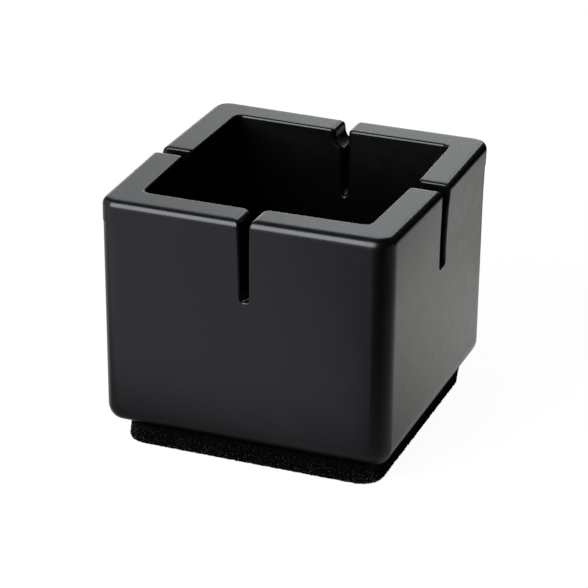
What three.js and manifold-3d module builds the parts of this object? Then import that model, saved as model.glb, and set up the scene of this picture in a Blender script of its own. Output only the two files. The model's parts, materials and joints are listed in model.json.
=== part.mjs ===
// Square chair leg cap: an elastic slotted sleeve with a felt glide bonded under its base.
// Millimetres, +Z up. The origin is the middle of the felt's underside, where the cap meets the floor.

import * as THREE from "three";
import Module from "manifold-3d";

// Leg socket
const SOCKET_WIDTH = 31.0; // clear width between facing walls, at the rim
const SOCKET_DEPTH = 27.5; // rim to socket floor
const SOCKET_TAPER_DEG = 0.3; // each wall closes in towards the floor, to grip the leg
const SOCKET_CORNER_RADIUS = 1.2;
const SOCKET_RIM_ROUND = 0.5; // lead-in round between the rim and the socket
const SOCKET_FLOOR_ROUND = 1.0;

// Walls and base
const WALL_THICKNESS = 4.5; // at the rim
const FLOOR_THICKNESS = 4.5;
const WALL_DRAFT_DEG = 0.2; // mould draft: the outside narrows towards the base
const CORNER_RADIUS = 2.3; // upright outer corners
const RIM_ROUND = 1.1; // outer edge of the rim
const BASE_ROUND = 2.5; // outer edge of the base
const SHARPEST_CORNER = 0.2; // least corner radius where a round is larger than the corner it runs into

// Slots, one in the middle of each wall
const SLOT_DEPTH = 11.2; // rim to the lowest point of the slot
const SLOT_END_WIDTH = 1.4; // at the round lower end
const SLOT_MOUTH_WIDTH = 1.7; // just below the rim
const SLOT_MOUTH_ROUND = 0.9; // where a slot opens into the rim
const SLOT_EDGE_ROUND = 0.4; // where a slot opens through a wall face
const WALLS = 4;

// Felt glide and the film that bonds it
const FELT_INSET = 1.9; // felt edge inside the outline of the base
const FELT_THICKNESS = 3.1;
const FELT_CORNER_RADIUS = 3.2;
const FELT_EDGE_ROUND = 0.4; // worn lower edge
const FILM_THICKNESS = 0.2;
const FILM_MARGIN = 0.5; // film edge inside the bonded area

// Facets
const CORNER_DIVISIONS = 4; // half the number of facets in an upright corner
const BASE_STEPS = 7;
const RIM_STEPS = 6;
const EDGE_STEPS = 4;
const SLOT_END_STEPS = 8;

// A slot's rounds stop short of lying flat on the face that they run into, so that the cut stays clean.
const ROUND_SWEEP = THREE.MathUtils.degToRad(80);
const CUT_PAST = 1.0; // how far a cutter runs past what it cuts
const QUARTER = Math.PI / 2;

// Levels and widths that follow from the sizes above
const BASE_Z = FELT_THICKNESS + FILM_THICKNESS;
const FLOOR_Z = BASE_Z + FLOOR_THICKNESS;
const RIM_Z = FLOOR_Z + SOCKET_DEPTH;
const RIM_WIDTH = SOCKET_WIDTH + 2 * WALL_THICKNESS;
const BASE_WIDTH = RIM_WIDTH - 2 * slope(RIM_Z - BASE_Z, WALL_DRAFT_DEG);
const FLOOR_WIDTH = SOCKET_WIDTH - 2 * slope(SOCKET_DEPTH, SOCKET_TAPER_DEG);
const FELT_WIDTH = BASE_WIDTH - 2 * FELT_INSET;
const FILM_WIDTH = Math.min(BASE_WIDTH - 2 * BASE_ROUND, FELT_WIDTH) - 2 * FILM_MARGIN;

const wasm = await Module();
wasm.setup();

// How far a face that leans by an angle moves sideways over a height.
function slope(height, degrees) {
  return height * Math.tan(THREE.MathUtils.degToRad(degrees));
}

// Outline of a square with round corners, counter-clockwise, centred on the origin.
function roundedSquare(width, radius) {
  const centre = width / 2 - radius;
  const shape = new THREE.Shape();
  shape.absarc(centre, centre, radius, 0, QUARTER);
  shape.absarc(-centre, centre, radius, QUARTER, 2 * QUARTER);
  shape.absarc(-centre, -centre, radius, 2 * QUARTER, 3 * QUARTER);
  shape.absarc(centre, -centre, radius, 3 * QUARTER, 4 * QUARTER);
  return shape;
}

// One level of a square loft. A wall that is inset by a round takes its corners in with it.
function squareSection(width, radius, inset, level) {
  const corner = Math.max(SHARPEST_CORNER, radius - inset);
  return {
    outline: roundedSquare(width - 2 * inset, corner).getPoints(CORNER_DIVISIONS),
    level,
  };
}

// Closed skin over sections with equal numbers of points. Each outline lies flat at its level.
function loft(sections) {
  const count = sections[0].outline.length;
  const last = (sections.length - 1) * count;
  const positions = sections.flatMap(({ outline, level }) =>
    outline.flatMap((point) => [point.x, point.y, level]),
  );
  const triangles = [];
  for (let start = 0; start < last; start += count) {
    for (let side = 0; side < count; side += 1) {
      const here = start + side;
      const next = start + ((side + 1) % count);
      triangles.push(here, next, next + count);
      triangles.push(here, next + count, here + count);
    }
  }
  for (const [a, b, c] of THREE.ShapeUtils.triangulateShape(sections[0].outline, [])) {
    triangles.push(a, c, b);
  }
  for (const [a, b, c] of THREE.ShapeUtils.triangulateShape(sections.at(-1).outline, [])) {
    triangles.push(last + a, last + b, last + c);
  }
  const geometry = new THREE.BufferGeometry();
  geometry.setAttribute("position", new THREE.Float32BufferAttribute(positions, 3));
  geometry.setIndex(triangles);
  return geometry;
}

// Points of a quarter round: how far it is in from the side face and from the end face, side first.
function quarterRound(radius, steps) {
  return Array.from({ length: steps + 1 }, (_, step) => {
    const angle = (QUARTER * step) / steps;
    return {
      side: radius * (1 - Math.cos(angle)),
      end: radius * (1 - Math.sin(angle)),
    };
  });
}

// Growth of a slot towards a wall face, as a round that starts one radius below the face.
function edgeGrowth(radius, steps) {
  return Array.from({ length: steps + 1 }, (_, step) => {
    const angle = (ROUND_SWEEP * step) / steps;
    return {
      growth: radius * (1 - Math.cos(angle)),
      depth: radius * (Math.sin(ROUND_SWEEP) - Math.sin(angle)),
    };
  });
}

function solidOf(geometry) {
  return new wasm.Manifold(
    new wasm.Mesh({
      numProp: 3,
      vertProperties: geometry.getAttribute("position").array,
      triVerts: new Uint32Array(geometry.getIndex().array),
    }),
  );
}

function geometryOf(solid) {
  const mesh = solid.getMesh();
  const geometry = new THREE.BufferGeometry();
  geometry.setAttribute("position", new THREE.BufferAttribute(mesh.vertProperties, mesh.numProp));
  geometry.setIndex(new THREE.BufferAttribute(mesh.triVerts, 1));
  geometry.computeVertexNormals();
  return geometry;
}

// Cap without its slots: one skin from the base up the outside, over the rim and down into the socket.
function sleeve() {
  const sections = [];
  for (const { side, end } of quarterRound(BASE_ROUND, BASE_STEPS).reverse()) {
    sections.push(squareSection(BASE_WIDTH, CORNER_RADIUS, side, BASE_Z + end));
  }
  for (const { side, end } of quarterRound(RIM_ROUND, RIM_STEPS)) {
    sections.push(squareSection(RIM_WIDTH, CORNER_RADIUS, side, RIM_Z - end));
  }
  for (const { side, end } of quarterRound(SOCKET_RIM_ROUND, EDGE_STEPS).reverse()) {
    sections.push(squareSection(SOCKET_WIDTH, SOCKET_CORNER_RADIUS, -side, RIM_Z - end));
  }
  for (const { side, end } of quarterRound(SOCKET_FLOOR_ROUND, EDGE_STEPS)) {
    sections.push(squareSection(FLOOR_WIDTH, SOCKET_CORNER_RADIUS, side, FLOOR_Z + end));
  }
  return solidOf(loft(sections));
}

// Upright outline of a slot, grown all round by an amount: round end, leaning sides and flared mouth.
function slotOutline(growth) {
  const endRadius = SLOT_END_WIDTH / 2;
  const endCentre = RIM_Z - SLOT_DEPTH + endRadius;
  const mouthStart = RIM_Z - SLOT_MOUTH_ROUND * Math.sin(ROUND_SWEEP);
  const right = [];
  for (let step = 0; step <= SLOT_END_STEPS; step += 1) {
    const angle = (QUARTER * step) / SLOT_END_STEPS;
    const reach = endRadius + growth;
    right.push(new THREE.Vector2(reach * Math.sin(angle), endCentre - reach * Math.cos(angle)));
  }
  for (let step = 0; step <= EDGE_STEPS; step += 1) {
    const angle = (ROUND_SWEEP * step) / EDGE_STEPS;
    const flare = SLOT_MOUTH_ROUND * (1 - Math.cos(angle));
    const rise = SLOT_MOUTH_ROUND * Math.sin(angle);
    right.push(new THREE.Vector2(SLOT_MOUTH_WIDTH / 2 + growth + flare, mouthStart + rise));
  }
  right.push(new THREE.Vector2(right.at(-1).x, RIM_Z + CUT_PAST));
  const left = right.slice(1).map((point) => new THREE.Vector2(-point.x, point.y));
  return [...right, ...left.reverse()];
}

// Cutter for the slot in the wall that faces -Y, flared where it meets the socket and the outside.
function slotCutter() {
  const inside = SOCKET_WIDTH / 2;
  const outside = RIM_WIDTH / 2;
  const flare = edgeGrowth(SLOT_EDGE_ROUND, EDGE_STEPS);
  const widest = slotOutline(flare.at(-1).growth);
  const sections = [{ outline: widest, level: inside - CUT_PAST }];
  for (const { growth, depth } of [...flare].reverse()) {
    sections.push({ outline: slotOutline(growth), level: inside + depth });
  }
  for (const { growth, depth } of flare) {
    sections.push({ outline: slotOutline(growth), level: outside - depth });
  }
  sections.push({ outline: widest, level: outside + CUT_PAST });
  return loft(sections).rotateX(QUARTER);
}

function capBody() {
  let body = sleeve();
  for (let wall = 0; wall < WALLS; wall += 1) {
    body = body.subtract(solidOf(slotCutter().rotateZ(wall * QUARTER)));
  }
  return geometryOf(body);
}

function feltPad() {
  const sections = [];
  for (const { side, end } of quarterRound(FELT_EDGE_ROUND, EDGE_STEPS).reverse()) {
    sections.push(squareSection(FELT_WIDTH, FELT_CORNER_RADIUS, side, end));
  }
  sections.push(squareSection(FELT_WIDTH, FELT_CORNER_RADIUS, 0, FELT_THICKNESS));
  const geometry = loft(sections);
  geometry.computeVertexNormals();
  return geometry;
}

function adhesiveLayer() {
  const outline = roundedSquare(FILM_WIDTH, FELT_CORNER_RADIUS);
  return new THREE.ExtrudeGeometry(outline, {
    depth: FILM_THICKNESS,
    bevelEnabled: false,
    curveSegments: CORNER_DIVISIONS,
  });
}

function piece(name, geometry, color, roughness) {
  const material = new THREE.MeshStandardMaterial({ color, roughness, metalness: 0 });
  const mesh = new THREE.Mesh(geometry, material);
  mesh.name = name;
  return mesh;
}

const legCap = new THREE.Group();
legCap.name = "chair_leg_cap";

legCap.add(piece("cap_body", capBody(), 0x1a1b1d, 0.42));

const film = piece("adhesive_layer", adhesiveLayer(), 0x2b2b29, 0.6);
film.position.z = FELT_THICKNESS;
legCap.add(film);

legCap.add(piece("felt_pad", feltPad(), 0x121314, 0.97));

export default legCap;
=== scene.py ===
# Looks of a square chair leg cap: a moulded elastic sleeve, its felt glide and the studio around them.
# Sizes are in millimetres unless a name says otherwise. The frame is in metres, +Z up, floor at z = 0.
import json
import math
from collections import namedtuple

import bpy
import numpy as np
from mathutils import Matrix, Vector, noise


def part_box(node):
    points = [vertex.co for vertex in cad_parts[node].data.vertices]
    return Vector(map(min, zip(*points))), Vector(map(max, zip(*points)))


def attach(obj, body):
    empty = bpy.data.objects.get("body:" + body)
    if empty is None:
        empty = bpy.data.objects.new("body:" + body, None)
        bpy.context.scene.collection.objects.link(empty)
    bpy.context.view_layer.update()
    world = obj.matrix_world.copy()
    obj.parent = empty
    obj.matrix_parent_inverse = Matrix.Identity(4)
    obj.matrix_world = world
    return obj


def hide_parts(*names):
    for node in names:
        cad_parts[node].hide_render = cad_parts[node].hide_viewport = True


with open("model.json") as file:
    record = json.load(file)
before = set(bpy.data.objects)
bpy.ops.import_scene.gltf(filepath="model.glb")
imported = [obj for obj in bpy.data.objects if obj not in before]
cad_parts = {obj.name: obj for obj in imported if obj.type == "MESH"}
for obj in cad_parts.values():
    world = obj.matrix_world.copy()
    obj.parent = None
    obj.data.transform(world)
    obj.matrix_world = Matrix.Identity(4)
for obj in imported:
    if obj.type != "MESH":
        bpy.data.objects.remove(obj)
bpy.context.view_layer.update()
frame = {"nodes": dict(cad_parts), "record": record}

MM = 0.001

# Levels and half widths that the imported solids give
CAP_LOW, CAP_HIGH = (np.array(corner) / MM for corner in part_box("cap_body"))
FELT_LOW, FELT_HIGH = (np.array(corner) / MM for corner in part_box("felt_pad"))
MOUNTS = {mount["name"]: mount for mount in frame["record"]["mounts"]}
RIM_HALF = CAP_HIGH[0]
RIM_Z = CAP_HIGH[2]
BASE_Z = CAP_LOW[2]
FLOOR_Z = MOUNTS["leg_seat"]["pos_m"][2] / MM
FELT_HALF = FELT_HIGH[0]
FELT_TOP = FELT_HIGH[2]
FELT_BOTTOM = FELT_LOW[2]

# Sleeve
WALL_THICKNESS = 4.5
WALL_DRAFT_DEG = 0.2
WALL_DRAFT = math.tan(math.radians(WALL_DRAFT_DEG))
SOCKET_HALF = RIM_HALF - WALL_THICKNESS
SOCKET_TAPER_DEG = 0.3
SOCKET_TAPER = math.tan(math.radians(SOCKET_TAPER_DEG))
SOCKET_CORNER_RADIUS = 1.2
SOCKET_FLOOR_ROUND = 1.0
CORNER_RADIUS = 2.3
BAND_CORNER_RADIUS = 2.07  # two corners are tighter in a band below the rim
BAND_HEIGHT = 3.35
BAND_STEP = 0.3  # height over which the corner radius changes
RIM_ROUND = 0.95  # depth of the rim's outer round
RIM_ROUND_HEIGHT = 1.15
BASE_ROUND = (2.4, 2.75)  # at the left and right sides

# Slots. Each wall's slot has its own sides, as the elastic lobes between the slots have set a little.
# Its wall faces along an axis, to one side. Low and high are the slot's two sides, at its lower end and at
# the rim, where they part by flare and then round off by mouth. End is its lower end, outside and inside.
# Lean is the set of the wall's two lobes, each from its low to its high side.
Slot = namedtuple("Slot", "axis side low high flare mouth end lean")
SLOT_DEPTH = 11.2
SLOT_END_Z = RIM_Z - SLOT_DEPTH
SLOT_END_ROUND = 0.42  # corners of the lower end
SLOT_SOCKET_ROUND = 0.6  # where a slot opens into the socket
SLOT_MOUTH_HEIGHT = (2.7, 2.9)  # the sides part over this height below the rim, inside and outside
SLOT_MOUTH_POWER = 4.5  # and they do so ever more steeply
MOUTH_SWEEP = 0.985  # the round edges of a mouth stop short of lying flat
EDGE_ROUND = 0.33  # where slots open through the outside
RIM_EDGE_ROUND = 0.32  # where the socket opens into the rim
EDGE_FADE = (0.5, 2.5)  # distances from a slot between which one edge round turns into the other
LEAN_ABOVE = 2.0  # lobes bend from this far above the ends of the slots
LEAN_Z = SLOT_END_Z + LEAN_ABOVE
LEAN_POWER = 1.5
LEAN_START = 8.0  # a wall's bend sets in at this distance from the middle
SLOTS = (
    Slot(
        axis=1, side=-1, low=(-0.13, -0.37), high=(0.94, 0.77), flare=(0.05, 0.0), mouth=(0.8, 0.95),
        end=(SLOT_END_Z + 0.16, SLOT_END_Z - 0.9), lean=(0.0, 0.05, -0.48, -0.8),
    ),
    Slot(
        axis=0, side=1, low=(-0.22, -0.33), high=(1.95, 1.85), flare=(0.1, 0.15), mouth=(0.5, 0.25),
        end=(SLOT_END_Z, SLOT_END_Z - 0.2), lean=(-0.42, 0.25, 0.45, 0.15),
    ),
    Slot(
        axis=1, side=1, low=(0.45, 0.45), high=(1.0, 1.05), flare=(1.2, 0.0), mouth=(0.5, 0.5),
        end=(SLOT_END_Z + 0.7, SLOT_END_Z + 1.65), lean=(0.38, -0.24, 0.16, 0.16),
    ),
    Slot(
        axis=0, side=-1, low=(-1.2, -1.25), high=(0.4, 0.4), flare=(0.2, 0.05), mouth=(0.4, 0.25),
        end=(SLOT_END_Z, SLOT_END_Z - 0.2), lean=(-0.06, 0.58, 0.05, 0.0),
    ),
)

# Felt glide
FELT_CORNER_RADIUS = 3.2
FELT_TOP_ROUND = 0.5
FELT_WORN_ROUND = 0.45
FELT_LEAN = 0.5  # its bonded top sits this far to the right of its underside
FELT_GRAINS = ((0.7, 0.035), (0.3, 0.05))  # size and height of each grain
FIBRES = 16000
FIBRE_SIDES = 3
FIBRE_STATIONS = 3
FIBRE_RADIUS = 0.028
FIBRE_LENGTH = (0.08, 0.22)
FIBRE_LIFT = (0.01, 0.07)
FIBRE_CURL = 0.5
FIBRE_STREW = 0.25  # off the grid's points
FIBRE_HIGHEST = 0.5  # none lie where the felt faces up more than this
FIBRE_UNDER = (-0.9, 0.25)  # how far down an underside faces, and its share of fibres
FIBRE_SHADE_POWER = 2.7  # most fibres are dark
FIBRE_PAINTED_SHADOW_DEPTH = 1.9  # and painted shadow makes them blacker close under the base
FIBRE_LEAST_LIGHT_IN_SHADOW = 0.05
FIBRE_SEED = 7
FIBRE_SHADE_SEED = 8

# Mesh
COARSE = 1.5  # widest grid step in the sleeve
OUTSIDE_STEP = 0.22  # steps at the sleeve's faces and edges
SOCKET_STEP = 0.09
SLOT_SIDE_STEP = 0.07
SLOT_END_STEP = 0.08
BASE_STEP = 0.28
FLOOR_STEP = 0.25
BAND_EDGE_STEP = 0.13
MOUTH_STEP = 0.07
RIM_STEP = 0.06
FELT_STEPS = (0.2, 0.36)  # across the felt: at its edges, and the widest
FELT_LEVEL_STEPS = (0.14, 0.2)  # and up its sides
SLOT_REACH = 5.0  # how far beside a slot, and above and below its end, the grid follows it
STEP_GROWTH = 0.22  # how fast steps widen away from an edge
LINE_SAMPLES = 600
SETTLE_ROUNDS = 14
UNFOLD_ROUNDS = 12
LEAST_FACING = 0.3  # a face that follows its surface less than this counts as folded
SLOPE_STEP = 1e-3
LEAST_SLOPE = 0.25
ON_PLANE = 1e-6
LEAST_LENGTH = 1e-9

# Camera, from the photograph's vanishing lines
IMAGE_PX = 588
FOCAL_PX = 2584.15
VIEW_AZIMUTH_DEG = 21.175
VIEW_ELEVATION_DEG = 23.845
VIEW_ROLL_DEG = 0.520
VIEW_DISTANCE = 347.48
VIEW_TARGET_Z = 19.3
PICTURE_OFFSET_PX = (4.246, -15.259)  # right and down
SENSOR_MM = 36.0


# Distance fields: negative inside, zero on the surface


def round_max(first, second, radius):
    """Where two solids meet: the larger distance, with a round of that radius along their common edge."""
    corner = np.hypot(np.maximum(radius + first, 0), np.maximum(radius + second, 0))
    return np.minimum(-radius, np.maximum(first, second)) + corner


def ease(value):
    """Smooth step from 0 to 1."""
    share = np.clip(value, 0, 1)
    return share * share * (3 - 2 * share)


def square_walls(points, half, radius):
    """Upright walls of a square with round corners. Half width and radius may change with height."""
    corner_x = np.abs(points[:, 0]) - half + radius
    corner_y = np.abs(points[:, 1]) - half + radius
    outside = np.hypot(np.maximum(corner_x, 0), np.maximum(corner_y, 0))
    return outside + np.minimum(np.maximum(corner_x, corner_y), 0) - radius


def outer_walls(points):
    """Outside of the sleeve, with its two tighter corners in the band below the rim."""
    drop = RIM_Z - points[:, 2]
    band = ease((BAND_HEIGHT - drop) / BAND_STEP + 0.5) * (points[:, 0] * points[:, 1] > 0)
    radius = CORNER_RADIUS + (BAND_CORNER_RADIUS - CORNER_RADIUS) * band
    return square_walls(points, RIM_HALF - drop * WALL_DRAFT, radius)


def socket_walls(points):
    drop = RIM_Z - points[:, 2]
    return square_walls(points, SOCKET_HALF - drop * SOCKET_TAPER, SOCKET_CORNER_RADIUS)


def through_wall(slot, points, inside, outside):
    """A size of a slot that changes from the wall's inside to its outside."""
    return np.interp(slot.side * points[:, slot.axis], (SOCKET_HALF, RIM_HALF), (inside, outside))


def mouth_round(drop, radius):
    """How far a slot's side has fallen back from its line, over the round edge of the mouth."""
    turn = np.clip(1 - drop / radius, 0, MOUTH_SWEEP)
    return radius * (1 - np.sqrt(1 - turn**2))


def slot_sides(slot, points):
    """Places of a slot's two sides at some points. They part evenly, and more in the mouth at the rim."""
    drop = np.maximum(RIM_Z - points[:, 2], 0)
    rise = np.clip(1 - drop / (RIM_Z - slot.end[0]), 0, 1)
    mouth_height = through_wall(slot, points, *SLOT_MOUTH_HEIGHT)
    mouth = np.maximum(1 - (drop / mouth_height) ** SLOT_MOUTH_POWER, 0)
    low = slot.low[0] + (slot.low[1] - slot.low[0]) * rise - slot.flare[0] * mouth
    high = slot.high[0] + (slot.high[1] - slot.high[0]) * rise + slot.flare[1] * mouth
    return low - mouth_round(drop, slot.mouth[0]), high + mouth_round(drop, slot.mouth[1])


def slot_walls(points, slot):
    """A slot through one wall, with a square lower end that has round corners."""
    beside = points[:, 1 - slot.axis]
    end = through_wall(slot, points, *slot.end[::-1])
    low, high = slot_sides(slot, points)
    hole = round_max(np.maximum(low - beside, beside - high), end - points[:, 2], SLOT_END_ROUND)
    return np.maximum(hole, -slot.side * points[:, slot.axis])


def cap_field(points):
    """The whole sleeve before its lobes lean."""
    height = points[:, 2]
    rim = (height - RIM_Z) * RIM_ROUND / RIM_ROUND_HEIGHT
    outside = round_max(outer_walls(points), rim, RIM_ROUND)
    base_round = np.interp(points[:, 0], (-RIM_HALF, RIM_HALF), BASE_ROUND)
    outside = round_max(outside, BASE_Z - height, base_round)
    inside = -round_max(socket_walls(points), FLOOR_Z - height, SOCKET_FLOOR_ROUND)
    nearest = np.full(len(points), np.inf)
    for slot in SLOTS:
        hole = slot_walls(points, slot)
        nearest = np.minimum(nearest, hole)
        inside = round_max(inside, -hole, SLOT_SOCKET_ROUND)
    return round_max(outside, inside, np.interp(nearest, EDGE_FADE, (EDGE_ROUND, RIM_EDGE_ROUND)))


def felt_field(points):
    """The felt without its grain, leaning to the right."""
    height = points[:, 2]
    lean = FELT_LEAN * np.clip((height - FELT_BOTTOM) / (FELT_TOP - FELT_BOTTOM), 0, 1) ** 2
    upright = points - lean[:, None] * (1, 0, 0)
    sides = square_walls(upright, FELT_HALF, FELT_CORNER_RADIUS)
    body = round_max(sides, height - FELT_TOP, FELT_TOP_ROUND)
    return round_max(body, FELT_BOTTOM - height, FELT_WORN_ROUND)


def field_slope(points, field):
    slope = np.empty_like(points)
    for axis in range(3):
        step = np.zeros(3)
        step[axis] = SLOPE_STEP
        slope[:, axis] = (field(points + step) - field(points - step)) / (2 * SLOPE_STEP)
    return slope


def settle(points, field):
    """Points moved along a field's slope until they lie on its surface."""
    for _ in range(SETTLE_ROUNDS):
        slope = field_slope(points, field)
        share = field(points) / np.maximum((slope**2).sum(axis=1), LEAST_SLOPE)
        points = points - slope * share[:, None]
    return points


def unit(vectors):
    return vectors / np.maximum(np.linalg.norm(vectors, axis=1, keepdims=True), LEAST_LENGTH)


# Skins of block grids


def grid_lines(stations, coarse):
    """Lines through each station, given as (place, step there), and wider apart between stations."""
    lines = [stations[0][0]]
    for (start, _), (end, _) in zip(stations, stations[1:]):
        along = np.linspace(start, end, LINE_SAMPLES)
        steps = [step + STEP_GROWTH * np.abs(along - place) for place, step in stations]
        density = 1 / np.minimum(np.min(steps, axis=0), coarse)
        count = np.concatenate([[0], np.cumsum((density[1:] + density[:-1]) / 2 * np.diff(along))])
        cells = max(1, round(count[-1]))
        lines.extend(np.interp(np.linspace(0, count[-1], cells + 1)[1:], count, along))
    return np.array(lines)


def block_skin(axes, filled):
    """Corner points and outward quads of the boundary of a grid's filled cells."""
    solid = np.pad(filled, 1).astype(int)
    shape = [len(lines) for lines in axes]
    quads = []
    for axis in range(3):
        first = np.eye(3, dtype=int)[(axis + 1) % 3]
        second = np.eye(3, dtype=int)[(axis + 2) % 3]
        change = np.diff(solid, axis=axis)
        for leaving in (True, False):
            cells = np.argwhere(change == (-1 if leaving else 1)) - first - second
            ring = [cells, cells + first, cells + first + second, cells + second]
            corners = [np.ravel_multi_index(corner.T, shape) for corner in ring]
            quads.append(np.stack(corners if leaving else corners[::-1], axis=1))
    used, quads = np.unique(np.concatenate(quads), return_inverse=True)
    places = np.unravel_index(used, shape)
    points = np.stack([lines[place] for lines, place in zip(axes, places)], axis=1)
    return points, quads.reshape(-1, 4)


def cell_middles(lines):
    return (lines[1:] + lines[:-1]) / 2


def mesh_piece(name, points, faces, normals=None):
    """A smooth mesh object from points in millimetres, with true normals where they are known."""
    mesh = bpy.data.meshes.new(name)
    mesh.from_pydata((points * MM).tolist(), [], faces)
    mesh.shade_smooth()
    if normals is not None:
        mesh.normals_split_custom_set_from_vertices(normals.tolist())
    piece = bpy.data.objects.new(name, mesh)
    bpy.context.scene.collection.objects.link(piece)
    return piece


# Sleeve


def in_slot(slot, x, y, z):
    """Where places lie in a slot that has straight sides."""
    along, beside = (x, y) if slot.axis == 0 else (y, x)
    between = (beside > slot.low[0] - ON_PLANE) & (beside < slot.high[0] + ON_PLANE)
    return between & (z > slot.end[0] - ON_PLANE) & (slot.side * along > SOCKET_HALF - ON_PLANE)


def cross_lines(axis):
    """Grid lines across the cap along an axis, with lines through the sides of the slots that they meet."""
    edges = sorted(place for slot in SLOTS if slot.axis != axis for place in (slot.low[0], slot.high[0]))
    stations = [(-RIM_HALF, OUTSIDE_STEP), (-SOCKET_HALF, SOCKET_STEP)]
    stations += [(place, SLOT_SIDE_STEP) for place in edges]
    stations += [(SOCKET_HALF, SOCKET_STEP), (RIM_HALF, OUTSIDE_STEP)]
    return grid_lines(stations, COARSE)


def cap_blocks():
    """The sleeve with sharp edges and straight slots: a square block less its socket and its slots."""
    ends = sorted({slot.end[0] for slot in SLOTS})
    stations = [(BASE_Z, BASE_STEP), (FLOOR_Z, FLOOR_STEP)]
    stations += [(end, SLOT_END_STEP) for end in ends]
    stations += [(RIM_Z - BAND_HEIGHT, BAND_EDGE_STEP), (RIM_Z - SLOT_MOUTH_HEIGHT[1], MOUTH_STEP)]
    stations.append((RIM_Z, RIM_STEP))
    lines = (cross_lines(0), cross_lines(1), grid_lines(stations, COARSE))
    x, y, z = np.meshgrid(*(cell_middles(line) for line in lines), indexing="ij")
    hollow = (np.maximum(np.abs(x), np.abs(y)) < SOCKET_HALF) & (z > FLOOR_Z)
    for slot in SLOTS:
        hollow |= in_slot(slot, x, y, z)
    return block_skin(lines, ~hollow)


def part_slots(points):
    """Moves the grid near each slot, so that its lines follow the slot's sides and lower end."""
    for slot in SLOTS:
        near = slot.side * points[:, slot.axis] > 0
        beside = points[near, 1 - slot.axis]
        past = np.maximum(slot.low[0] - beside, beside - slot.high[0])
        fade = ease(1 - np.maximum(past, 0) / SLOT_REACH)
        off_end = np.abs(points[near, 2] - slot.end[0])
        drop = through_wall(slot, points[near], *slot.end[::-1]) - slot.end[0]
        points[near, 2] += drop * fade * ease(1 - off_end / SLOT_REACH)
        low, high = slot_sides(slot, points[near])
        share = (beside - slot.low[0]) / (slot.high[0] - slot.low[0])
        move = np.where(share < 0.5, low - slot.low[0], high - slot.high[0])
        within = low - slot.low[0] + (high - slot.high[0] - low + slot.low[0]) * share
        points[near, 1 - slot.axis] += np.where(past > 0, move * fade, within)
    return points


def settle_hollows(points):
    """Fits the grid to the slots, and rounds off the socket corners and slot ends before other edges."""
    x, y, z = points.T
    on_socket = np.isclose(np.maximum(np.abs(x), np.abs(y)), SOCKET_HALF, atol=ON_PLANE)
    upper = on_socket & (z > RIM_Z - 2 * SOCKET_CORNER_RADIUS)
    slot_skins = [in_slot(slot, x, y, z) for slot in SLOTS]
    points = part_slots(points.copy())
    points[upper] = settle(points[upper], socket_walls)
    for slot, skin in zip(SLOTS, slot_skins):
        points[skin] = settle(points[skin], lambda place: slot_walls(place, slot))
    return points


def unfold(points, quads, field):
    """Evens out the few places where a settled grid folds over itself, on the same surface."""
    for _ in range(UNFOLD_ROUNDS):
        normals = unit(field_slope(points, field))
        corners = points[quads]
        facing = unit(np.cross(corners[:, 2] - corners[:, 0], corners[:, 3] - corners[:, 1]))
        follows = (facing[:, None, :] * normals[quads]).sum(axis=2).min(axis=1)
        folded = np.unique(quads[follows < LEAST_FACING])
        if not len(folded):
            break
        middles = np.zeros_like(points)
        np.add.at(middles, quads, corners.mean(axis=1, keepdims=True))
        middles /= np.bincount(quads.ravel(), minlength=len(points))[:, None]
        points[folded] = settle(middles[folded], field)
    return points


def lean_lobes(points):
    """Bends each wall's two lobes by their own set, outward or inward, and more so towards the rim."""
    moved = points.copy()
    rise = np.clip((points[:, 2] - LEAN_Z) / (RIM_Z - LEAN_Z), 0, None) ** LEAN_POWER
    for slot in SLOTS:
        beside = points[:, 1 - slot.axis]
        middle = (slot.low[0] + slot.high[0]) / 2
        low_lobe = np.interp(beside, (-RIM_HALF, middle), slot.lean[:2])
        high_lobe = np.interp(beside, (middle, RIM_HALF), slot.lean[2:])
        lean = np.where(beside < middle, low_lobe, high_lobe)
        wall = ease((slot.side * points[:, slot.axis] - LEAN_START) / (SOCKET_HALF - LEAN_START))
        moved[:, slot.axis] += slot.side * lean * wall * rise
    return moved


def lean_normals(points, normals):
    """Normals turned with the lobes, to the first order of their bend."""
    turned = 2 * normals
    for axis in range(3):
        step = np.zeros(3)
        step[axis] = SLOPE_STEP
        change = (lean_lobes(points + step) - lean_lobes(points - step)) / (2 * SLOPE_STEP)
        turned[:, axis] -= (change * normals).sum(axis=1)
    return unit(turned)


def make_cap():
    """One closed skin over the sleeve, its socket and its slots."""
    points, quads = cap_blocks()
    points = unfold(settle(settle_hollows(points), cap_field), quads, cap_field)
    normals = lean_normals(points, unit(field_slope(points, cap_field)))
    return mesh_piece("cap_shell", lean_lobes(points), quads.tolist(), normals)


# Felt


def grain(points):
    """Uneven height of the felt's surface."""
    height = np.zeros(len(points))
    for size, rise in FELT_GRAINS:
        height += rise * np.array([noise.noise(Vector(point) / size) for point in points])
    return height


def felt_surface():
    """Points, smooth normals and quads of the felt's uneven skin."""
    step, widest = FELT_STEPS
    lines = grid_lines([(-FELT_HALF, step), (FELT_HALF, step)], widest)
    step, widest = FELT_LEVEL_STEPS
    levels = grid_lines([(FELT_BOTTOM, step), (FELT_TOP, step)], widest)
    cells = (len(lines) - 1, len(lines) - 1, len(levels) - 1)
    points, quads = block_skin((lines, lines, levels), np.ones(cells, dtype=bool))
    points = settle(points, felt_field)
    normals = unit(field_slope(points, felt_field))
    points = points + normals * grain(points)[:, None]
    points[:, 2] = np.clip(points[:, 2], FELT_BOTTOM, FELT_TOP)
    return points, normals, quads


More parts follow.
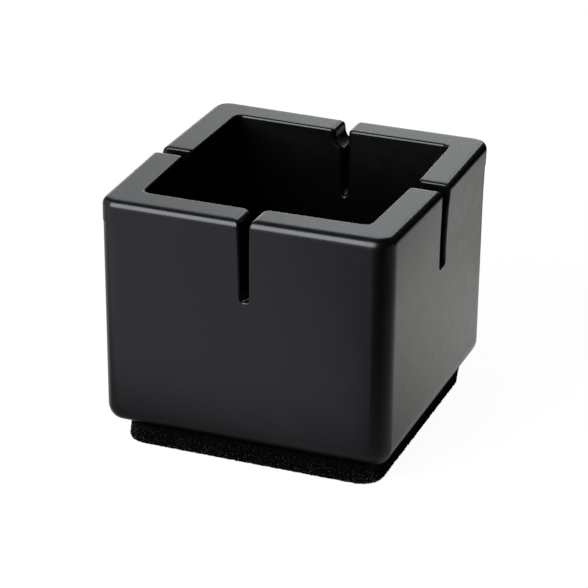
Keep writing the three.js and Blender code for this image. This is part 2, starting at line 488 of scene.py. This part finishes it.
def fibre_paths(points, normals):
    """Centre lines of loose fibres on the felt's sides and underside, and the directions across each."""
    draw = np.random.default_rng(FIBRE_SEED)
    bare = np.flatnonzero(normals[:, 2] < FIBRE_HIGHEST)
    facing, under_share = FIBRE_UNDER
    weights = np.where(normals[bare, 2] < facing, under_share, 1.0)
    roots = draw.choice(bare, FIBRES, p=weights / weights.sum())
    out = normals[roots]
    along = unit(np.cross(out, draw.normal(size=(FIBRES, 3))))
    aside = np.cross(out, along)
    strew = draw.uniform(-FIBRE_STREW, FIBRE_STREW, (2, FIBRES, 1))
    middles = points[roots] + along * strew[0] + aside * strew[1]
    length = draw.uniform(*FIBRE_LENGTH, FIBRES)[:, None]
    lift = draw.uniform(*FIBRE_LIFT, FIBRES)[:, None]
    curl = draw.normal(0, FIBRE_CURL, FIBRES)[:, None]
    paths = []
    for share in np.linspace(0, 1, FIBRE_STATIONS):
        bend = curl * length * (share - 0.5) ** 2
        rise = lift * 4 * share * (1 - share) - FIBRE_RADIUS
        paths.append(middles + along * length * (share - 0.5) + aside * bend + out * rise)
    paths = np.stack(paths, axis=1)
    paths[:, :, 2] = np.clip(paths[:, :, 2], FELT_BOTTOM + FIBRE_RADIUS, FELT_TOP - FIBRE_RADIUS)
    return paths, out, aside


def make_fibres(points, normals):
    """Thin three-sided strands with closed ends, each with its own shade of grey, and painted shadow
    darkens those close under the base.
    """
    paths, out, aside = fibre_paths(points, normals)
    rings = []
    for side in range(FIBRE_SIDES):
        turn = 2 * math.pi * side / FIBRE_SIDES
        offset = FIBRE_RADIUS * (math.cos(turn) * out + math.sin(turn) * aside)
        rings.append(paths + offset[:, None, :])
    strands = np.stack(rings, axis=2)
    strands[..., 2] = np.maximum(strands[..., 2], FELT_BOTTOM)
    corners = FIBRE_STATIONS * FIBRE_SIDES
    faces = []
    for start in range(0, FIBRES * corners, corners):
        last = start + corners - FIBRE_SIDES
        for ring in range(start, last, FIBRE_SIDES):
            for side in range(FIBRE_SIDES):
                here = ring + side
                beside = ring + (side + 1) % FIBRE_SIDES
                faces.append((here, beside, beside + FIBRE_SIDES, here + FIBRE_SIDES))
        faces.append(tuple(range(start, start + FIBRE_SIDES))[::-1])
        faces.append(tuple(range(last, last + FIBRE_SIDES)))
    piece = mesh_piece("felt_fibres", strands.reshape(-1, 3), faces)
    shade = np.random.default_rng(FIBRE_SHADE_SEED).uniform(0, 1, FIBRES) ** FIBRE_SHADE_POWER
    # painted shadow of the cap's base: fibres rooted near the felt's top are darkened
    shade *= np.clip((FELT_TOP - paths[:, 0, 2]) / FIBRE_PAINTED_SHADOW_DEPTH, FIBRE_LEAST_LIGHT_IN_SHADOW, 1)
    attribute = piece.data.attributes.new("shade", "FLOAT", "POINT")
    attribute.data.foreach_set("value", np.repeat(shade, corners).astype(np.float32))
    return piece


# Materials

Pattern = namedtuple("Pattern", "size detail roughness", defaults=(0.5,))
Relief = namedtuple("Relief", "height strength")
NOISE_MIDDLE = (0.25, 0.75)  # the part of its range that noise mostly keeps to
RUBBER_TINT = Pattern(9.0, 3)
RUBBER_COLOURS = ((0.3, (0.0005, 0.0006, 0.0007)), (0.7, (0.0008, 0.0009, 0.001)))
RUBBER_CLOUD = Pattern(1.6, 4, 0.6)
RUBBER_ROUGHNESS = (0.25, 0.3)
RUBBER_SINK = Pattern(7.0, 1)
RUBBER_SINK_RELIEF = Relief(0.004, 0.4)
RUBBER_TEXTURE = Pattern(0.16, 2)
RUBBER_TEXTURE_RELIEF = Relief(0.001, 0.4)
RUBBER_IOR = 1.45
RUBBER_GLOSS_TINT = (0.87, 0.88, 1.0)
FELT_FLECK = Pattern(0.3, 5, 0.65)
FELT_COLOURS = ((0.45, (0.0003, 0.0004, 0.0004)), (0.75, (0.002, 0.0022, 0.0022)))
FELT_RELIEF = Relief(0.12, 0.9)
FELT_ROUGHNESS = 0.95
FELT_GLOSS = 0.02
FIBRE_COLOURS = ((0.0, (0.0004, 0.0005, 0.0005)), (1.0, (0.095, 0.098, 0.098)))
FIBRE_ROUGHNESS = 0.7
FIBRE_GLOSS = 0.12
FILM_MOTTLE = Pattern(1.2, 3)
FILM_COLOURS = ((0.35, (0.014, 0.014, 0.013)), (0.65, (0.024, 0.024, 0.022)))
FILM_RELIEF = Relief(0.03, 0.5)
FILM_ROUGHNESS = 0.6


def new_material(name):
    material = bpy.data.materials.new(name)
    material.use_nodes = True
    nodes = material.node_tree.nodes
    return material, nodes, material.node_tree.links, nodes["Principled BSDF"]


def noise_node(nodes, links, pattern):
    """Noise of a pattern, fixed to the object."""
    place = nodes.new("ShaderNodeTexCoord")
    texture = nodes.new("ShaderNodeTexNoise")
    texture.inputs["Scale"].default_value = 1 / (pattern.size * MM)
    texture.inputs["Detail"].default_value = pattern.detail
    texture.inputs["Roughness"].default_value = pattern.roughness
    links.new(place.outputs["Object"], texture.inputs["Vector"])
    return texture.outputs["Fac"]


def ramp_node(nodes, links, source, stops):
    """Colour ramp with stops given as (place, colour)."""
    ramp = nodes.new("ShaderNodeValToRGB")
    for element, (place, colour) in zip(ramp.color_ramp.elements, stops):
        element.position = place
        element.color = (*colour, 1)
    links.new(source, ramp.inputs["Fac"])
    return ramp.outputs["Color"]


def range_node(nodes, links, source, low, high):
    """Value from low to high, as the source goes over the middle of its range."""
    spread = nodes.new("ShaderNodeMapRange")
    spread.inputs["From Min"].default_value = NOISE_MIDDLE[0]
    spread.inputs["From Max"].default_value = NOISE_MIDDLE[1]
    spread.inputs["To Min"].default_value = low
    spread.inputs["To Max"].default_value = high
    links.new(source, spread.inputs["Value"])
    return spread.outputs["Result"]


def bump_node(nodes, links, source, relief, under=None):
    """Bump of a relief, over another bump if one is given."""
    bump = nodes.new("ShaderNodeBump")
    bump.inputs["Distance"].default_value = relief.height * MM
    bump.inputs["Strength"].default_value = relief.strength
    links.new(source, bump.inputs["Height"])
    if under is not None:
        links.new(under, bump.inputs["Normal"])
    return bump.outputs["Normal"]


def rubber_material():
    """Satin black moulded rubber: fine eroded texture, slight sink and unevenly dull."""
    material, nodes, links, shader = new_material("satin_black_rubber")
    tint = noise_node(nodes, links, RUBBER_TINT)
    links.new(ramp_node(nodes, links, tint, RUBBER_COLOURS), shader.inputs["Base Color"])
    cloud = noise_node(nodes, links, RUBBER_CLOUD)
    links.new(range_node(nodes, links, cloud, *RUBBER_ROUGHNESS), shader.inputs["Roughness"])
    sink = bump_node(nodes, links, noise_node(nodes, links, RUBBER_SINK), RUBBER_SINK_RELIEF)
    texture = noise_node(nodes, links, RUBBER_TEXTURE)
    links.new(bump_node(nodes, links, texture, RUBBER_TEXTURE_RELIEF, sink), shader.inputs["Normal"])
    shader.inputs["IOR"].default_value = RUBBER_IOR
    shader.inputs["Specular Tint"].default_value = (*RUBBER_GLOSS_TINT, 1)
    return material


def felt_material():
    """Dense black felt body between the loose fibres."""
    material, nodes, links, shader = new_material("black_felt")
    fleck = noise_node(nodes, links, FELT_FLECK)
    links.new(ramp_node(nodes, links, fleck, FELT_COLOURS), shader.inputs["Base Color"])
    links.new(bump_node(nodes, links, fleck, FELT_RELIEF), shader.inputs["Normal"])
    shader.inputs["Roughness"].default_value = FELT_ROUGHNESS
    shader.inputs["Specular IOR Level"].default_value = FELT_GLOSS
    return material


def fibre_material():
    """Black to grey strands, by each strand's shade: its own tone, darkened by painted shadow close under
    the base.
    """
    material, nodes, links, shader = new_material("felt_fibre")
    shade = nodes.new("ShaderNodeAttribute")
    shade.attribute_name = "shade"
    links.new(ramp_node(nodes, links, shade.outputs["Fac"], FIBRE_COLOURS), shader.inputs["Base Color"])
    shader.inputs["Roughness"].default_value = FIBRE_ROUGHNESS
    shader.inputs["Specular IOR Level"].default_value = FIBRE_GLOSS
    return material


def film_material():
    """Dull dark adhesive film, a little mottled."""
    material, nodes, links, shader = new_material("adhesive_film")
    mottle = noise_node(nodes, links, FILM_MOTTLE)
    links.new(ramp_node(nodes, links, mottle, FILM_COLOURS), shader.inputs["Base Color"])
    links.new(bump_node(nodes, links, mottle, FILM_RELIEF), shader.inputs["Normal"])
    shader.inputs["Roughness"].default_value = FILM_ROUGHNESS
    return material


# Studio

CENTRE = Vector((0, 0, VIEW_TARGET_Z * MM))

# Lamps
Softbox = namedtuple("Softbox", "name direction size_m radiance tint", defaults=((1, 1, 1),))
LAMP_DISTANCE_M = 1.0
KEY_TINT = (0.98, 1.0, 0.93)
FAR_TINT = (0.96, 1.0, 0.99)  # of the lamps behind
SOFTBOXES = (
    Softbox("key", (-0.36, -0.82, 0.44), (0.6, 0.74), 10.0, KEY_TINT),
    Softbox("back", (-0.24, 0.867, 0.54), (0.22, 1.2), 1.5, FAR_TINT),
    Softbox("side", (-0.50, 0.75, 0.54), (0.42, 1.2), 0.93, FAR_TINT),
    Softbox("strip", (-0.015, 0.90, 0.52), (0.14, 0.7), 3.6, FAR_TINT),
    Softbox("low", (-0.5, 0.86, 0.07), (0.8, 0.12), 2.0, FAR_TINT),
    Softbox("top", (-0.33, 0.08, 0.94), (0.5, 0.5), 0.35),
    Softbox("fill", (-0.86, -0.22, 0.46), (0.8, 0.5), 0.9),
)
WORLD_COLOUR = (0.044, 0.045, 0.046)

# Floor
FLOOR_RINGS = (  # radius and height of each
    (300, 0), (900, 0), (1600, 0), (2000, 10), (2300, 60), (2500, 140), (2600, 240),
)
FLOOR_SIDES = 96
FLOOR_SEEN_DIFFUSE = 0.08
FLOOR_SEEN_GLOW = 0.96
FLOOR_DIFFUSE = 0.7

# Black card, which shapes what the near faces mirror of the floor, and paints shade and contact shadow
# round the foot into it
FLAG_CORNER = (17.7, -17.7)  # axis of the front corner's round
FLAG_RADII = (
    0.1, 2, 4, 7, 11, 16, 22, 30, 40, 52, 66, 82, 100, 115, 130, 145, 160, 200, 280, 420, 700, 1100, 1600,
)
FLAG_SIDES = 360
FLAG_HEIGHT = 0.5
FLAG_BACK_HEIGHT = 250.0  # its far rim stands up
FLAG_STOPS = (
    (-180, 0.3), (-145, 0.08), (-130, 0.18), (-111, 0.2), (-107.3, 0.99), (-50, 0.97),
    (10, 0.74), (40, 0.54), (64, 0.27), (72, 0.2), (76, 0.04), (80, 0), (130, 0.35),
)
FLAG_NEAR = (0.35, 25.0)  # how much paler it is at the corner, and over what distance
FLAG_CARDS = (  # cards behind the object: distances between which each fades in, and its angles
    ((115.0, 150.0), (15, 35, 88, 96)),
    ((62.0, 82.0), (81, 84, 124, 132)),
)
FLAG_OPEN = 0.5  # its open fields cover less than this
CONTACT_SHADOW_REACH = (5.0, 9.0)  # painted contact shadow round the foot, as the faces mirror it: its reach beside the right wall and before the front wall
FRONT_SHADE = (0.5, 10.0, 24.0)  # painted, softer shade before the front wall, and where it fades
RIGHT_SHADE = (0.33, 6.0, 24.0)  # and beside the right wall
RIGHT_SHADE_END = (0.0, 35.0)  # it fades towards the back
RIGHT_GEL = (0.985, 1.0, 0.935)  # the floor looks warmer in the right wall
RIGHT_GEL_TURNS = (-20, 10, 85, 115)


def add_camera():
    azimuth = math.radians(VIEW_AZIMUTH_DEG)
    elevation = math.radians(VIEW_ELEVATION_DEG)
    roll = math.radians(VIEW_ROLL_DEG)
    level = Vector((math.cos(azimuth), math.sin(azimuth), 0))
    back = Vector((
        math.sin(azimuth) * math.cos(elevation),
        -math.cos(azimuth) * math.cos(elevation),
        math.sin(elevation),
    ))
    upward = back.cross(level)
    right = level * math.cos(roll) + upward * math.sin(roll)
    up = upward * math.cos(roll) - level * math.sin(roll)
    data = bpy.data.cameras.new("camera")
    data.sensor_width = SENSOR_MM
    data.lens = FOCAL_PX / IMAGE_PX * SENSOR_MM
    data.shift_x = -PICTURE_OFFSET_PX[0] / IMAGE_PX
    data.shift_y = PICTURE_OFFSET_PX[1] / IMAGE_PX
    camera = bpy.data.objects.new("camera", data)
    turn = Matrix((right, up, back)).transposed().to_4x4()
    camera.matrix_world = Matrix.Translation(CENTRE + back * VIEW_DISTANCE * MM) @ turn
    bpy.context.scene.collection.objects.link(camera)
    bpy.context.scene.camera = camera


def add_softbox(softbox):
    """Rectangular lamp that faces the object and isn't seen by the camera."""
    width, height = softbox.size_m
    data = bpy.data.lights.new(softbox.name, "AREA")
    data.shape = "RECTANGLE"
    data.size = width
    data.size_y = height
    data.energy = softbox.radiance * math.pi * width * height
    data.color = softbox.tint
    lamp = bpy.data.objects.new(softbox.name, data)
    toward = Vector(softbox.direction).normalized()
    lamp.location = CENTRE + toward * LAMP_DISTANCE_M
    lamp.rotation_euler = toward.to_track_quat("Z", "Y").to_euler()
    lamp.visible_camera = False
    bpy.context.scene.collection.objects.link(lamp)


def set_world():
    world = bpy.data.worlds.new("studio")
    world.use_nodes = True
    world.node_tree.nodes["Background"].inputs["Color"].default_value = (*WORLD_COLOUR, 1)
    bpy.context.scene.world = world


def floor_material():
    """Pale floor. Where it is seen or mirrored it is nearly white, and it keeps the object's shadow."""
    material, nodes, links, shader = new_material("pale_floor")
    nodes.remove(shader)
    plain = nodes.new("ShaderNodeBsdfDiffuse")
    plain.inputs["Color"].default_value = (FLOOR_DIFFUSE, FLOOR_DIFFUSE, FLOOR_DIFFUSE, 1)
    shaded = nodes.new("ShaderNodeBsdfDiffuse")
    shaded.inputs["Color"].default_value = (FLOOR_SEEN_DIFFUSE, FLOOR_SEEN_DIFFUSE, FLOOR_SEEN_DIFFUSE, 1)
    glow = nodes.new("ShaderNodeEmission")
    glow.inputs["Strength"].default_value = FLOOR_SEEN_GLOW
    seen = nodes.new("ShaderNodeAddShader")
    links.new(shaded.outputs[0], seen.inputs[0])
    links.new(glow.outputs[0], seen.inputs[1])
    path = nodes.new("ShaderNodeLightPath")
    mirrored = nodes.new("ShaderNodeMath")
    links.new(path.outputs["Is Camera Ray"], mirrored.inputs[0])
    links.new(path.outputs["Is Glossy Ray"], mirrored.inputs[1])
    shown = nodes.new("ShaderNodeMath")
    shown.use_clamp = True
    links.new(mirrored.outputs[0], shown.inputs[0])
    links.new(path.outputs["Is Transmission Ray"], shown.inputs[1])
    choice = nodes.new("ShaderNodeMixShader")
    links.new(shown.outputs[0], choice.inputs[0])
    links.new(plain.outputs[0], choice.inputs[1])
    links.new(seen.outputs[0], choice.inputs[2])
    links.new(choice.outputs[0], nodes["Material Output"].inputs["Surface"])
    material.cycles.emission_sampling = "NONE"
    return material


def ring_points(centre, rings, sides):
    """Points of level rings round an upright axis. Each ring is given as (radius, height)."""
    turns = np.linspace(0, 2 * math.pi, sides, endpoint=False)
    return [
        (centre[0] + radius * math.cos(turn), centre[1] + radius * math.sin(turn), height)
        for radius, height in rings
        for turn in turns
    ]


def ring_faces(first, rings, sides):
    """Quads between neighbouring rings of points, which are numbered on from a first point."""
    faces = []
    for inner in range(first, first + (rings - 1) * sides, sides):
        outer = inner + sides
        for side in range(sides):
            beside = (side + 1) % sides
            faces.append((inner + side, outer + side, outer + beside, inner + beside))
    return faces


def add_floor():
    """Wide flat disc whose rim curls up, so that low views still have a pale ground behind the object."""
    points = [(0, 0, 0)] + ring_points((0, 0), FLOOR_RINGS, FLOOR_SIDES)
    faces = [(0, 1 + side, 1 + (side + 1) % FLOOR_SIDES) for side in range(FLOOR_SIDES)]
    faces += ring_faces(1, len(FLOOR_RINGS), FLOOR_SIDES)
    floor = mesh_piece("floor", np.array(points), faces)
    floor.data.materials.append(floor_material())


def flag_turn(x, y):
    """Direction of a place on the card, seen from the front corner."""
    return np.degrees(np.arctan2(y - FLAG_CORNER[1], x - FLAG_CORNER[0]))


def flag_cover(x, y):
    """How black the card is: pale before the two faces, black off the front corner and far behind. Round
    the foot it adds painted shade and painted contact shadow to the floor that the faces mirror.
    """
    turn = flag_turn(x, y)
    reach = np.hypot(x - FLAG_CORNER[0], y - FLAG_CORNER[1])
    cover = np.interp(turn, *zip(*FLAG_STOPS))
    share, fade = FLAG_NEAR
    cover = cover * (1 - share * np.exp(-reach / fade))
    for (start, full), turns in FLAG_CARDS:
        behind = np.interp(turn, turns, (0, 1, 1, 0))
        cover = np.maximum(cover, behind * ease((reach - start) / (full - start)))
    open_field = cover < FLAG_OPEN
    before = np.interp(y, RIGHT_SHADE_END, (1, 0))
    # painted shade of the mirrored floor before the front wall and beside the right wall
    for out, share, (shade, start, end) in ((-y, 1, FRONT_SHADE), (x, before, RIGHT_SHADE)):
        near = ease((end + FELT_HALF - out) / (end - start)) * (out > FELT_HALF)
        cover = cover + shade * share * near * open_field
    # painted contact shadow of the mirrored floor round the foot
    gap_x = np.maximum(np.abs(x) - FELT_HALF, 0) / CONTACT_SHADOW_REACH[0]
    gap_y = np.maximum(np.abs(y) - FELT_HALF, 0) / CONTACT_SHADOW_REACH[1]
    return np.maximum(cover, ease(1 - np.hypot(gap_x, gap_y)))


def card_material():
    """Black card that lets light through where it is thin, there tinted by its gel."""
    material, nodes, links, shader = new_material("black_card")
    nodes.remove(shader)
    black = nodes.new("ShaderNodeBsdfDiffuse")
    black.inputs["Color"].default_value = (0, 0, 0, 1)
    clear = nodes.new("ShaderNodeBsdfTransparent")
    gel = nodes.new("ShaderNodeAttribute")
    gel.attribute_name = "gel"
    links.new(gel.outputs["Color"], clear.inputs["Color"])
    cover = nodes.new("ShaderNodeAttribute")
    cover.attribute_name = "cover"
    choice = nodes.new("ShaderNodeMixShader")
    links.new(cover.outputs["Fac"], choice.inputs[0])
    links.new(clear.outputs[0], choice.inputs[1])
    links.new(black.outputs[0], choice.inputs[2])
    links.new(choice.outputs[0], nodes["Material Output"].inputs["Surface"])
    return material


def add_flag():
    """Soft-edged black card on the floor, seen only in reflections, which leaves two white fields open."""
    rings = [(radius, FLAG_HEIGHT) for radius in FLAG_RADII]
    rings.append((FLAG_RADII[-1], FLAG_BACK_HEIGHT))
    points = np.array(ring_points(FLAG_CORNER, rings, FLAG_SIDES))
    flag = mesh_piece("black_flag", points, ring_faces(0, len(rings), FLAG_SIDES))
    cover = flag.data.attributes.new("cover", "FLOAT", "POINT")
    cover.data.foreach_set("value", flag_cover(points[:, 0], points[:, 1]).astype(np.float32))
    share = np.interp(flag_turn(points[:, 0], points[:, 1]), RIGHT_GEL_TURNS, (0, 1, 1, 0))
    tint = 1 + share[:, None] * (np.array((*RIGHT_GEL, 1)) - 1)
    gel = flag.data.attributes.new("gel", "FLOAT_COLOR", "POINT")
    gel.data.foreach_set("color", tint.astype(np.float32).ravel())
    flag.data.materials.append(card_material())
    flag.visible_camera = False
    flag.visible_diffuse = False
    flag.visible_transmission = False
    flag.visible_shadow = False


def dress(piece, material, slot_name, *nodes):
    """Gives a new piece its material, and puts it in the place of its CAD nodes."""
    piece.data.materials.append(material)
    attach(piece, "root")
    if nodes:
        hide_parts(*nodes)


add_camera()
set_world()
for softbox in SOFTBOXES:
    add_softbox(softbox)
add_floor()
add_flag()
bpy.context.scene.view_settings.view_transform = "Standard"

dress(make_cap(), rubber_material(), "cap_rubber", "cap_body")

felt_points, felt_normals, felt_quads = felt_surface()
felt = mesh_piece("felt_glide", felt_points, felt_quads.tolist())
dress(felt, felt_material(), "felt", "felt_pad")
dress(make_fibres(felt_points, felt_normals), fibre_material(), "felt")

film = frame["nodes"]["adhesive_layer"]
film.data.materials.clear()
film.data.materials.append(film_material())
